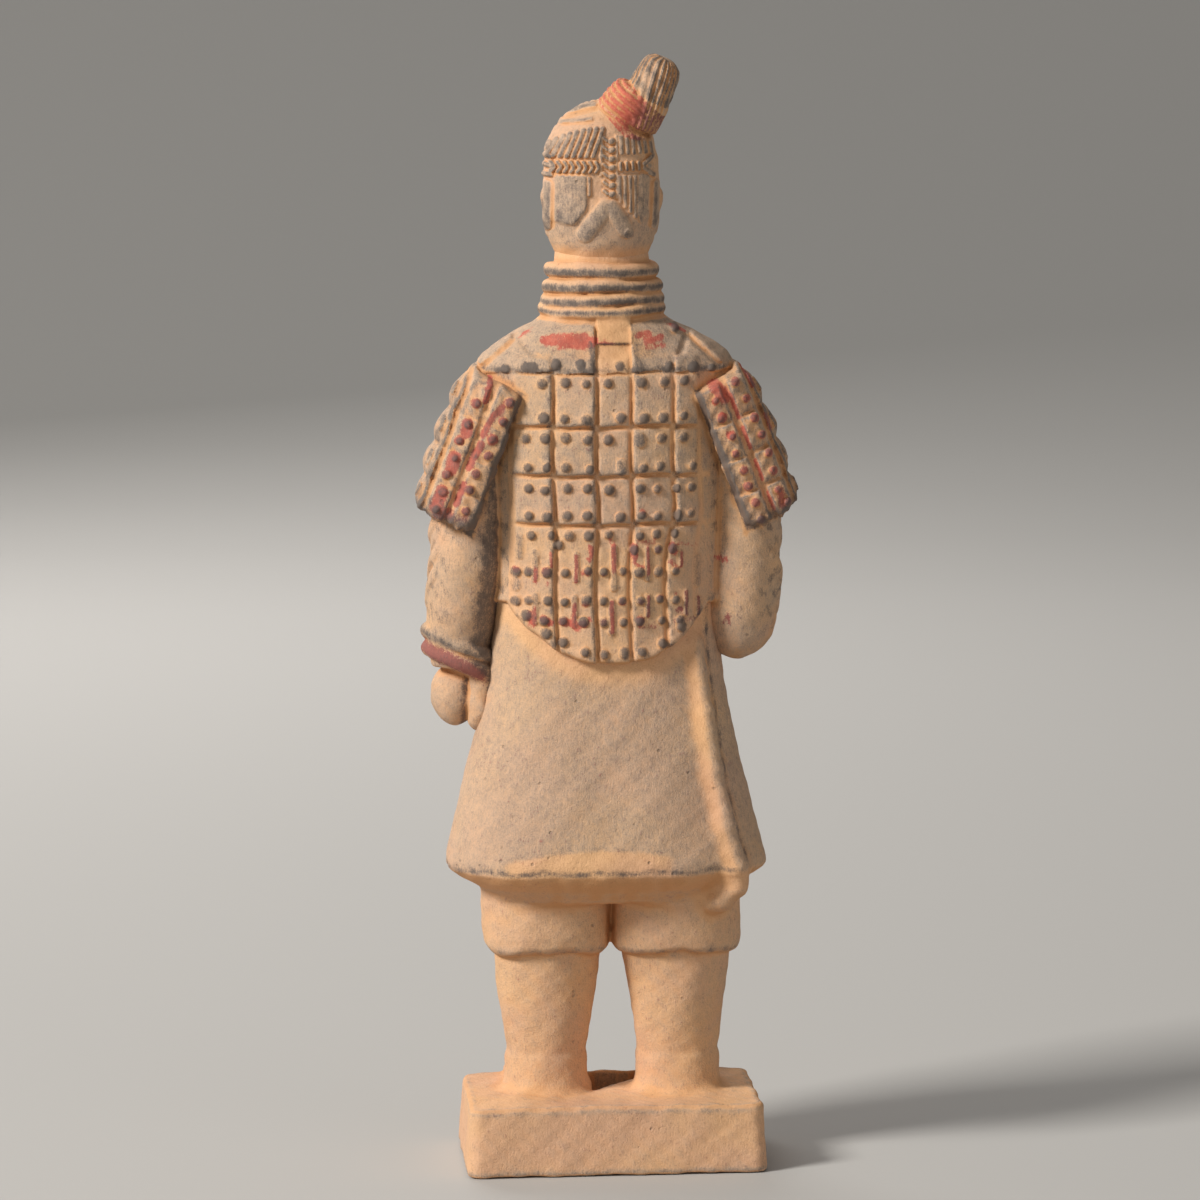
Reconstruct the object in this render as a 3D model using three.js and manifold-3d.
// A terracotta warrior figurine: an armoured infantryman standing on a low plinth, cast in fired clay as one
// piece, about 250 mm tall. Millimetres, +Z up. The figure faces -Y, so +X is its left side and +Y its back.
// The origin is the middle of the plinth's underside.
import * as THREE from "three";
import { mergeVertices } from "three/addons/utils/BufferGeometryUtils.js";
import Module from "manifold-3d";

const wasm = await Module();
wasm.setup();

// ---- Driving dimensions ---------------------------------------------------------------------------------

const PLINTH = { width: 68, depth: 45.5, height: 15.8, corner: 3, draft: 0.7 };
const POCKET = { floor: 4, corners: [[5.4, 2.5], [3.8, -20], [-7.6, -20], [-6.8, -11.5]] };
const LEG = { left: [14.4, -3.2], right: [-15.3, -1.2], ankle: 24.3, trouserEdge: 49.6 };
const HEM = 67; // height of the robe's lower edge

const ARMOUR = {
  bottom: 115.2, // the lowest point of its rounded edge, at the back
  rise: 13, // how far that edge climbs towards the sides
  leftReach: 24, // distances from the lowest point at which the edge has climbed
  rightReach: 21,
  frontDrop: 5, // the front apron hangs this much lower than the back
  rows: [180.3, 168.2, 157.3, 146.4], // lower edges of the full rows of plates
  back: [21.9, 12.5, 3, -4.6, -13.8, -19.8], // plate joints across the back
  front: [22, 13, 4, -4, -13, -22], // plate joints across the front
  lap: 0.6, // how far a plate's lapping edge stands over its neighbour
  joint: 0.35, // half the width of the slope between two plates
};
const STUD = {
  radius: 1.45,
  height: 0.9,
  back: [18.8, 14.8, 10.2, 5.4, 1.5, -2.3, -6.7, -10.8, -15.3, -18.3],
  rows: [178, 170.2, 165.7, 159.3, 154.6, 148.4, 143.9, 136.4, 129.6],
  edge: 2.4, // the last row follows the rounded edge, this far above it
  yoke: [22, 17.6, 11.6, 6.4, -2.2, -7.4, -13.2, -18.8],
};

const COLLAR = { rings: [202, 198.9, 196, 193.2], x: 0.5, width: 13.2, depth: 12.2, flare: 0.25, groove: 1.1 };
const GUARD = {
  top: [19.2, 176], // x and z at either end of its inner edge
  bottom: [30.9, 145],
  width: 14.7,
  halfDepth: 14.6,
  y: 1.2,
  lames: 4,
  step: 0.9,
};
const HEAD = { x: 0.35, y: -0.6 };
const FACE = { brow: 225, eyes: 221.5, noseTip: 215.4, mouth: 211.6 };
const KNOT = {
  ribbon: [-6.4, 5.6, 237.2],
  ribbonAxis: [-0.76, 0.3, 0.6],
  tuft: [-8.4, 6.4, 238],
  tip: [-13.9, 7.6, 249.7],
};

// ---- Solids ---------------------------------------------------------------------------------------------

// A closed three.js geometry as a solid that can be joined and cut.
function solid(geometry) {
  const bare = geometry.clone();
  bare.deleteAttribute("normal");
  bare.deleteAttribute("uv");
  const merged = mergeVertices(bare, 1e-4);
  return new wasm.Manifold(new wasm.Mesh({
    numProp: 3,
    vertProperties: merged.attributes.position.array,
    triVerts: new Uint32Array(merged.index.array),
  }));
}

const join = (...solids) => solids.flat().reduce((a, b) => a.add(b));

// A closed cylinder with each vertex moved to place(step, level). Steps count round from +X towards +Y, levels
// count up from the bottom, and step is null at the middle of either end.
function skin(steps, levels, place) {
  const geometry = new THREE.CylinderGeometry(1, 1, 1, steps, levels);
  geometry.rotateX(Math.PI / 2);
  geometry.rotateZ(Math.PI / 2);
  const at = geometry.attributes.position;
  for (let i = 0; i < at.count; i++) {
    const [x, y] = [at.getX(i), at.getY(i)];
    const turn = Math.atan2(y, x) / (2 * Math.PI);
    const step = Math.hypot(x, y) < 0.5 ? null : Math.round((turn + 1) * steps) % steps;
    at.setXYZ(i, ...place(step, Math.round((at.getZ(i) + 0.5) * levels)));
  }
  return geometry;
}

// One level ring of a body: height, half width, half depth to the front and to the back, squareness, centre.
const ring = (z, w, front, back, n = 2, x = 0, y = 0) => ({ z, w, front, back, n, x, y });

// How far a ring's outline lies from its centre at an angle, counted from +X towards +Y.
function reach(r, angle) {
  const depth = Math.sin(angle) < 0 ? r.front : r.back;
  const sum = Math.abs(Math.cos(angle) / r.w) ** r.n + Math.abs(Math.sin(angle) / depth) ** r.n;
  return sum ** (-1 / r.n);
}

// The depth of a ring's outline at x: side is 1 on the back and -1 on the front.
function depthAt(r, x, side) {
  const inside = Math.max(0, 1 - Math.abs(x / r.w) ** r.n);
  return (side > 0 ? r.back : r.front) * inside ** (1 / r.n);
}

// A skin over a stack of rings, lowest first.
function barrelGeometry(rings, sides) {
  return skin(sides, rings.length - 1, (step, level) => {
    const r = rings[level];
    const angle = (2 * Math.PI * step) / sides;
    const out = step === null ? 0 : reach(r, angle);
    return [r.x + out * Math.cos(angle), r.y + out * Math.sin(angle), r.z];
  });
}

const barrel = (rings, sides) => solid(barrelGeometry(rings, sides));

// Turns a geometry's +Z to point along an axis and moves it into place.
function aim(geometry, axis, centre) {
  const turn = new THREE.Quaternion().setFromUnitVectors(
    new THREE.Vector3(0, 0, 1), new THREE.Vector3(...axis).normalize());
  geometry.applyQuaternion(turn);
  geometry.translate(...centre);
  return geometry;
}

// A ball stretched to three half sizes and tipped about X by some degrees.
function ball(centre, halves, tip = 0, detail = [8, 6]) {
  const geometry = new THREE.SphereGeometry(1, ...detail);
  geometry.scale(...halves);
  geometry.rotateX(THREE.MathUtils.degToRad(tip));
  geometry.translate(...centre);
  return solid(geometry);
}

// A round bead of clay laid along a smooth line of points.
function bead(points, radius, steps) {
  const path = new THREE.CatmullRomCurve3(points.map((p) => new THREE.Vector3(...p)));
  const outline = new THREE.Shape();
  outline.absarc(0, 0, radius, 0, 2 * Math.PI);
  return solid(new THREE.ExtrudeGeometry(outline, { steps, curveSegments: 3, extrudePath: path }));
}

// A cuff turned back in two rolls: its hem is at the centre and it runs back against the axis.
function cuff(centre, axis, w, d) {
  const profile = [[-7, -1.2], [-6, 0], [-4.6, 0], [-3.9, -0.9], [-3, 0.2], [-0.8, 0.2], [0, -1.2]];
  const rings = profile.map(([z, out]) => ring(z, w + out, d + out, d + out));
  return solid(aim(barrelGeometry(rings, 14), axis, centre));
}

// A four-sided stud standing on a surface point.
function stud(point, outward) {
  const geometry = new THREE.ConeGeometry(STUD.radius, 2 * STUD.height, 4);
  geometry.rotateX(Math.PI / 2);
  return solid(aim(geometry, outward, point));
}

// ---- Plinth, with the pocket between the feet -----------------------------------------------------------

function plinth() {
  const { width, depth, height, corner, draft } = PLINTH;
  const [w, d] = [width / 2, depth / 2];
  const outline = new THREE.Shape();
  outline.absarc(w - corner, d - corner, corner, 0, Math.PI / 2);
  outline.absarc(corner - w, d - corner, corner, Math.PI / 2, Math.PI);
  outline.absarc(corner - w, corner - d, corner, Math.PI, 1.5 * Math.PI);
  outline.absarc(w - corner, corner - d, corner, 1.5 * Math.PI, 2 * Math.PI);
  const geometry = new THREE.ExtrudeGeometry(outline, { depth: height, bevelEnabled: false, curveSegments: 2 });
  const at = geometry.attributes.position;
  for (let i = 0; i < at.count; i++) {
    const lean = at.getZ(i) > height / 2 ? draft : 0;
    at.setX(i, at.getX(i) * (1 - lean / w));
    at.setY(i, at.getY(i) * (1 - lean / d));
  }
  const hole = new THREE.Shape(POCKET.corners.map(([x, y]) => new THREE.Vector2(x, y)));
  const cut = new THREE.ExtrudeGeometry(hole, { depth: height, bevelEnabled: false });
  cut.translate(0, 0, POCKET.floor);
  return solid(geometry).subtract(solid(cut));
}

// ---- Legs: wrapped shins, short trousers and square-toed shoes ------------------------------------------

// side is 1 for the figure's left leg and -1 for its right.
function leg(side) {
  const [x, y] = side > 0 ? LEG.left : LEG.right;
  const { ankle, trouserEdge } = LEG;
  const shin = barrel([
    ring(PLINTH.height - 1, 10.6, 9.6, 10.6, 2.2, x, y),
    ring(18.5, 9.4, 9.2, 9.4, 2.2, x, y),
    ring(ankle - 0.3, 9.3, 9.3, 9.2, 2.2, x, y),
    ring(ankle + 0.3, 9.0, 9.0, 8.9, 2.2, x, y),
    ring(38, 11.0, 10.4, 10.6, 2.2, x, y),
    ring(trouserEdge, 12.6, 11.8, 12.0, 2.2, x - side * 0.4, y + 0.4),
  ], 14);
  const trouser = barrel([
    ring(trouserEdge - 0.7, 12.4, 11.6, 11.8, 2.3, x - side * 0.2, y + 0.6),
    ring(trouserEdge + 0.8, 14.0, 13.0, 13.2, 2.3, x - side * 0.2, y + 0.8),
    ring(trouserEdge + 3.4, 14.5, 13.6, 13.8, 2.3, x - side * 0.2, y + 1),
    ring(HEM, 14.8, 14.4, 14.6, 2.3, x - side * 0.3, y + 1),
  ], 16);
  const toe = new THREE.Shape();
  toe.moveTo(7.6, 2);
  toe.lineTo(-7.6, 2);
  toe.lineTo(-8.2, -13);
  toe.quadraticCurveTo(-8.2, -17, -5, -17.4);
  toe.lineTo(5, -17.4);
  toe.quadraticCurveTo(8.2, -17, 8.2, -13);
  const shoe = new THREE.ExtrudeGeometry(toe, {
    depth: 6.2, bevelSize: 0.8, bevelThickness: 0.8, bevelSegments: 1, curveSegments: 3,
  });
  shoe.translate(x + side * 0.6, y, PLINTH.height - 1);
  return join(shin, trouser, solid(shoe));
}

// ---- Robe: the flared skirt, and its lapped edge on the right hip with the corner turned under ----------

function robe() {
  const skirt = barrel([
    ring(HEM - 5.5, 27.5, 17.0, 17.5, 2.6, 0.3),
    ring(HEM - 1.2, 35.4, 21.6, 21.4, 2.7, 0.5),
    ring(HEM + 1.2, 36.3, 22.2, 22.0, 2.7, 0.6),
    ring(80, 33.8, 20.8, 20.6, 2.6, 0.7),
    ring(96, 29.9, 18.4, 18.2, 2.5, 0.5),
    ring(110, 26.8, 16.8, 16.4, 2.5, 0.3),
    ring(124, 25.6, 15.9, 15.7, 2.5),
    ring(140, 25.6, 15.6, 15.6, 2.5),
  ], 26);
  const lapEdge = bead([
    [-19.6, 14.0, 118], [-21.4, 15.0, 104], [-23.0, 16.4, 91], [-25.6, 17.4, 78],
    [-28.2, 17.0, 68.5], [-27.6, 15.2, 63.5], [-23.6, 13.6, 60.2],
  ], 1.2, 10);
  const corner = new THREE.Shape();
  corner.moveTo(-29.5, HEM + 3);
  corner.lineTo(-27.5, HEM - 3.5);
  corner.lineTo(-22.5, HEM - 5.5);
  corner.lineTo(-20, HEM + 3);
  const flap = new THREE.ExtrudeGeometry(corner, { depth: 15, bevelEnabled: false });
  flap.rotateX(Math.PI / 2);
  flap.translate(0, 16, 0);
  return join(skirt, lapEdge, solid(flap));
}

// ---- Armour: lapping plates with studs ------------------------------------------------------------------

// The armour's outline at a few heights, without its plates.
const CUIRASS = [
  ring(108, 27.4, 18.6, 17.9, 2.5),
  ring(128, 26.8, 17.9, 17.3, 2.5),
  ring(146.4, 27.2, 17.9, 17.4, 2.5),
  ring(160, 28.4, 18.3, 17.9, 2.5),
  ring(170, 29, 17.8, 17.6, 2.5),
  ring(180.3, 29, 15.6, 15.6, 2.4),
  ring(182.5, 28, 14.6, 14.8, 2.4),
];

function cuirassRing(z) {
  const i = Math.max(1, CUIRASS.findIndex((r) => r.z >= z));
  const [low, high] = [CUIRASS[i - 1], CUIRASS[i]];
  const share = (z - low.z) / (high.z - low.z);
  const between = (key) => low[key] + (high[key] - low[key]) * share;
  return ring(z, between("w"), between("front"), between("back"), between("n"));
}

// The height of the rounded lower edge at x: side is 1 on the back and -1 on the front.
function armourEdge(x, side) {
  const { bottom, rise, leftReach, rightReach, frontDrop } = ARMOUR;
  const out = Math.min(1, Math.abs(x + 1) / (x > -1 ? leftReach : rightReach));
  const drop = side > 0 ? 0 : frontDrop;
  return bottom - drop + (rise + drop) * out ** 2.4;
}

// Columns lap towards the middle one: 1 at a plate's raised inner edge, falling to 0 at its outer edge.
function columnLap(x, columns) {
  const joints = columns.filter((c) => c * x > 0).map(Math.abs).sort((a, b) => a - b);
  const inner = joints.filter((c) => c < Math.abs(x)).at(-1);
  if (inner === undefined) return 0;
  const outer = joints.find((c) => c > Math.abs(x)) ?? inner + 7;
  return 1 - (Math.abs(x) - inner) / (outer - inner);
}

// Rows lap downwards: 1 at a plate's lower edge, falling to 0 at its upper edge. The apron below isn't in rows.
function rowLap(z) {
  const { rows } = ARMOUR;
  const i = rows.findIndex((row) => row <= z);
  if (i < 0) return 0;
  const above = i > 0 ? rows[i - 1] : rows[0] + 4;
  return 1 - (z - rows[i]) / (above - rows[i]);
}

// A point on the plated surface.
function platePoint(x, z, side) {
  const columns = side > 0 ? ARMOUR.back : ARMOUR.front;
  const plated = Math.abs(x) < ARMOUR.back[0] + 1;
  const lap = plated ? ARMOUR.lap * (columnLap(x, columns) + rowLap(z)) : 0;
  return [x, side * (depthAt(cuirassRing(z), x, side) + lap), z];
}

// Lines up the armour, from its left side over the back and round again: each gives its x at a height.
function armourLines() {
  const { back, front, joint } = ARMOUR;
  const share = (part) => (z) => part * cuirassRing(z).w;
  const across = (columns) => [
    ...[0.975, 0.9].map(share),
    ...columns.flatMap((c) => [() => c + joint, () => c - joint]),
    ...[-0.9, -0.975].map(share),
  ];
  return [
    ...[share(1), ...across(back), share(-1)].map((xAt) => ({ xAt, side: 1 })),
    ...across(front).reverse().map((xAt) => ({ xAt, side: -1 })),
  ];
}

function armour() {
  const { rows, joint, bottom } = ARMOUR;
  const lines = armourLines();
  const top = CUIRASS.at(-1).z;
  const heights = [...rows.toReversed().flatMap((z) => [z - joint, z + joint]), top];
  return solid(skin(lines.length, heights.length, (step, level) => {
    if (step === null) return [0, 0, level ? top : bottom + 9];
    const { xAt, side } = lines[step];
    const low = armourEdge(xAt(bottom), side);
    const z = level ? heights[level - 1] : low;
    return platePoint(xAt(z), z, side);
  }));
}

function armourStud(x, z, side) {
  const slope = platePoint(x + 0.3, z, side)[1] - platePoint(x - 0.3, z, side)[1];
  return stud(platePoint(x, z, side), [-side * slope, side * 0.6, 0]);
}

function armourStuds() {
  const made = [];
  for (const x of STUD.back) {
    const edge = armourEdge(x, 1);
    const underGuard = (z) => Math.abs(x) > 16.5 && z > ARMOUR.rows[1];
    const shown = STUD.rows.filter((z) => z > edge + STUD.edge + 2 && !underGuard(z));
    made.push(...[...shown, edge + STUD.edge].map((z) => armourStud(x, z, 1)));
  }
  return made;
}

// ---- Shoulders and the yoke's two halves ----------------------------------------------------------------

const SHOULDERS = [
  ring(180.5, 28.8, 15.4, 15.4, 2.4),
  ring(183.2, 27.4, 14.6, 14.7, 2.3),
  ring(185.8, 24.2, 13.8, 13.9, 2.2),
  ring(188.4, 19.8, 12.9, 13.1, 2.1, 0.3),
  ring(191, 15.6, 12.1, 12.4, 2, 0.4),
  ring(194.5, 13.2, 11.6, 11.9, 2, COLLAR.x),
];

function yoke() {
  const raised = SHOULDERS.slice(0, -1).map((r) => ({ ...r, front: r.front - 3, back: r.back + 0.6 }));
  const outer = barrel(raised, 22);
  const halves = [[ARMOUR.back[2], 20], [-18.5, ARMOUR.back[3]]].map(([low, high]) => {
    const window = new THREE.BoxGeometry(high - low, 20, 10.2);
    window.translate((low + high) / 2, 12, 185.6);
    return outer.intersect(solid(window));
  });
  const studs = STUD.yoke.map((x) => stud([x, depthAt(SHOULDERS[0], x, 1) + 0.4, 182.3], [x * 0.02, 1, 0.35]));
  return join(halves, studs);
}

// ---- Shoulder guards ------------------------------------------------------------------------------------

// A guard lies along a slanting line beside the arm, as a half tube of lapping lames with a flat back panel.
// It is built on the figure's left, where side is 1, and mirrored for the right.
function guard(side) {
  const [[x0, z0], [x1, z1]] = [GUARD.top, GUARD.bottom];
  const length = Math.hypot(x1 - x0, z1 - z0);
  const lean = Math.atan2(x1 - x0, z0 - z1);
  const lame = length / GUARD.lames;
  const place = (geometry) => {
    geometry.rotateY(-lean);
    geometry.translate(x0, GUARD.y, z0);
    return solid(geometry);
  };
  // The tube's half width a distance down the guard.
  const widthAt = (down) => GUARD.width - 2 * (down / length - 0.48) ** 2 * 3.4;
  const outline = [];
  for (let i = GUARD.lames; i > 0; i--) {
    outline.push([i * lame, GUARD.step / 2], [(i - 1) * lame + 0.6, -GUARD.step / 2]);
  }
  outline.push([-0.6, -1], [-2.6, -3], [-4.2, -5.8]);
  const tube = barrelGeometry(outline.map(([down, out]) => {
    const depth = GUARD.halfDepth + out * 0.7;
    return ring(-down, widthAt(down) + out, depth, depth, 2.6);
  }), 20);
  const inner = new THREE.BoxGeometry(30, 60, 90);
  inner.translate(-15, 0, 0);
  const shell = place(tube).subtract(place(inner));
  const studs = [];
  for (const [across, first, count] of [[10, 1.4, 8], [3.2, 3, 7]]) {
    for (let i = 0; i < count; i++) {
      const down = first + i * lame / 2;
      const depth = depthAt(ring(0, widthAt(down), GUARD.halfDepth, GUARD.halfDepth, 2.6), across, 1);
      const spot = new THREE.Vector3(across, depth, -down).applyAxisAngle(new THREE.Vector3(0, 1, 0), -lean);
      studs.push(stud([x0 + spot.x, GUARD.y + spot.y, z0 + spot.z], [across * 0.04, 1, 0]));
    }
  }
  const whole = join(shell, studs);
  return side > 0 ? whole : whole.mirror([1, 0, 0]);
}

// ---- Arms -----------------------------------------------------------------------------------------------

// Both upper arms are alike; side is 1 on the left.
const upperArm = (side) => [
  ring(146, 8.7, 10.6, 11.0, 2.1, side * 30.7, 0.8),
  ring(158, 9.0, 11.0, 11.2, 2.1, side * 29.8, 0.3),
  ring(170, 8.6, 10.6, 10.8, 2.1, side * 27.6),
  ring(178, 6.5, 8.2, 8.4, 2.1, side * 24.4),
];

// The left arm hangs straight, its sleeve ending in two rolls and its closed hand cast against the robe.
function leftArm() {
  const sleeve = barrel([
    ring(114, 5.6, 6.6, 6.6, 2.1, 33, -3.8),
    ring(119, 7.4, 9, 9.4, 2.1, 33, -2),
    ring(126, 8.1, 9.8, 10.4, 2.1, 32.3, -0.2),
    ring(136, 8.7, 10.2, 11.0, 2.1, 31.3, 1),
    ...upperArm(1),
  ], 14);
  const sleeveEnd = cuff([31.6, -5.4, 112.6], [0, -0.48, -0.88], 9.4, 11);
  const fist = ball([33.4, -6, 106.4], [6.2, 7.4, 7.6], 0, [10, 7]);
  const thumb = ball([33.4, -12, 105.8], [2.6, 2.4, 5.2], 14, [6, 4]);
  return join(sleeve, sleeveEnd, fist, thumb);
}

// The right arm is bent: the forearm comes forward across the body, and the fist is closed round a missing shaft.
function rightArm() {
  const sleeve = barrel([
    ring(114.8, 2.6, 4.6, 4.8, 2, -28.6, 2),
    ring(116, 4.9, 6.8, 6.8, 2, -29, 2),
    ring(119.4, 7.2, 9.0, 8.8, 2, -29.5, 2),
    ring(125, 8.6, 10.4, 10.2, 2.1, -29.7, 2),
    ring(134, 8.9, 10.8, 10.8, 2.1, -30.3, 1.6),
    ...upperArm(-1),
  ], 14);
  const forearm = barrelGeometry([
    ring(-4, 7.6, 7.4, 7.4, 2, -29.4, 124),
    ring(8, 7.4, 7.4, 7.4, 2, -27, 124.4),
    ring(19.5, 6.4, 6.6, 6.6, 2, -21.8, 126.4),
  ], 12);
  forearm.rotateX(Math.PI / 2); // its rings are stacked upright, and this lays them along -Y
  const sleeveEnd = cuff([-21.6, -19.4, 126.6], [0.4, -0.9, 0.14], 7.6, 7.6);
  const palm = ball([-19.4, -23.2, 127.4], [5.4, 5.4, 6.2]);
  const fingers = [0, 1, 2, 3].map((i) => ball([-15.6, -24.8, 131.8 - i * 2.9], [3.4, 3.6, 1.8], 0, [6, 4]));
  const thumb = ball([-19.6, -24.6, 133.2], [2.2, 4.2, 1.9], 0, [6, 4]);
  return join(sleeve, solid(forearm), sleeveEnd, palm, fingers, thumb);
}

// ---- Neck, collar and head ------------------------------------------------------------------------------

// The neckcloth's four turns.
function collar() {
  const { rings, x, width, depth, flare, groove } = COLLAR;
  const stack = [];
  for (const [i, z] of rings.toReversed().entries()) {
    const out = flare * (rings.length - 1 - i);
    stack.push(ring(z - 1.5, width + out - groove, depth + out - groove, depth + out - groove, 2, x));
    stack.push(ring(z, width + out, depth + out, depth + out, 2, x));
  }
  stack.push(ring(205, 10.4, 10, 10, 2, x), ring(208, 10.4, 10, 10, 2, x));
  return barrel(stack, 20);
}

function face() {
  const { x, y } = HEAD;
  const mask = barrel([
    ring(205, 8.4, 9.6, 8, 2, x, y),
    ring(207.4, 10.2, 12.6, 9, 2.1, x, y),
    ring(211, 11.6, 13.6, 9, 2.2, x, y),
    ring(FACE.eyes, 12.4, 13.4, 9, 2.3, x, y),
    ring(FACE.brow + 5, 11.4, 13.2, 9, 2.2, x, y),
  ], 16);
  const nose = bead([[x, -13.8, FACE.eyes + 2], [x, -15.4, FACE.noseTip + 2], [x, -15.2, FACE.noseTip]], 1.5, 3);
  const made = [mask, nose, ball([x, -13.6, FACE.mouth], [3.1, 1.7, 1.2], 0, [8, 4])];
  for (const side of [1, -1]) {
    const across = (out) => x + side * out;
    made.push(bead([[across(1.6), -14, FACE.brow - 0.2], [across(5), -13.4, FACE.brow + 0.6],
      [across(9), -10.6, FACE.brow - 0.6]], 0.8, 3));
    made.push(ball([across(4.9), -12.6, FACE.eyes], [2.6, 1.5, 1.1], 0, [6, 4]));
    made.push(ball([across(12.1), 0, 215.4], [1.4, 3.4, 6], 8, [6, 4]));
  }
  return made;
}

// Hair combed back over the skull, with a plait across, one down the middle and two parting at the nape.
function hair() {
  const { x, y } = HEAD;
  const cap = barrel([
    ring(204.6, 9.6, 8, 10, 2, x, y),
    ring(208.6, 11.8, 8.5, 12.4, 2.1, x, y),
    ring(214, 12.9, 9, 13.8, 2.2, x, y),
    ring(FACE.brow - 1, 13.0, 10, 14.4, 2.3, x, y),
    ring(FACE.brow + 2.4, 12.9, 13.9, 14.3, 2.3, x, y),
    ring(232.6, 11.6, 13.2, 13.2, 2.1, x, y),
    ring(236.6, 9.3, 11.2, 11.2, 2, x - 0.4, y),
    ring(240, 3.6, 5.4, 6, 2, x - 0.8, y),
  ], 16);
  const plaits = [1, -1].flatMap((side) => [
    bead([[x + side * 12.1, 3, 223.8], [x + side * 11, 7.4, 225], [x + side * 6, 12.4, 225.2], [-0.6, 13.6, 225.2]], 1.1, 4),
    bead([[-0.8, 12.5, 215], [side * 3.6, 11.6, 211.4], [side * 7.6, 9, 207.8]], 1.7, 3),
  ]);
  const middle = bead([[-1, 11.8, 234], [-1, 13.6, 226], [-1, 12.9, 214]], 1.3, 3);
  return [cap, ...plaits, middle];
}

// The topknot: a ribbon wound on a slant and a tuft of folded hair, leaning to the figure's right.
function topknot() {
  const { ribbon, ribbonAxis, tuft, tip } = KNOT;
  const wound = barrelGeometry([
    ring(-4.4, 5.4, 5.4, 5.4), ring(-3.4, 6.1, 6.1, 6.1), ring(-1, 6.4, 6.4, 6.4), ring(-0.8, 6.9, 6.9, 6.9),
    ring(1.8, 6.9, 6.9, 6.9), ring(2, 6.4, 6.4, 6.4), ring(3.8, 5.2, 5.2, 5.2),
  ], 14);
  const axis = tip.map((v, i) => v - tuft[i]);
  const length = Math.hypot(...axis);
  const strands = barrelGeometry([
    ring(-3, 4.4, 4.2, 4.2), ring(length * 0.4, 4.5, 4.3, 4.3), ring(length - 3, 4.3, 4.1, 4.1),
    ring(length - 1, 3.6, 3.3, 3.3), ring(length, 2.2, 2, 2),
  ], 12);
  return [solid(aim(wound, ribbonAxis, ribbon)), solid(aim(strands, axis, tuft))];
}

// ---- The figurine ---------------------------------------------------------------------------------------

function figurine() {
  const body = [plinth(), leg(1), leg(-1), robe(), armour(), ...armourStuds(), barrel(SHOULDERS, 22), yoke()];
  const limbs = [leftArm(), rightArm(), guard(1), guard(-1)];
  return join(body, limbs, collar(), face(), hair(), topknot());
}

function meshOf(body, name, material) {
  const { vertProperties, triVerts } = body.getMesh();
  const geometry = new THREE.BufferGeometry();
  geometry.setAttribute("position", new THREE.BufferAttribute(vertProperties, 3));
  geometry.setIndex(new THREE.BufferAttribute(triVerts, 1));
  geometry.computeVertexNormals();
  const mesh = new THREE.Mesh(geometry, material);
  mesh.name = name;
  return mesh;
}

const clay = new THREE.MeshStandardMaterial({ color: 0xcfa27a, roughness: 0.92, metalness: 0 });

const part = new THREE.Group();
part.add(meshOf(figurine(), "warrior", clay));

export default part;
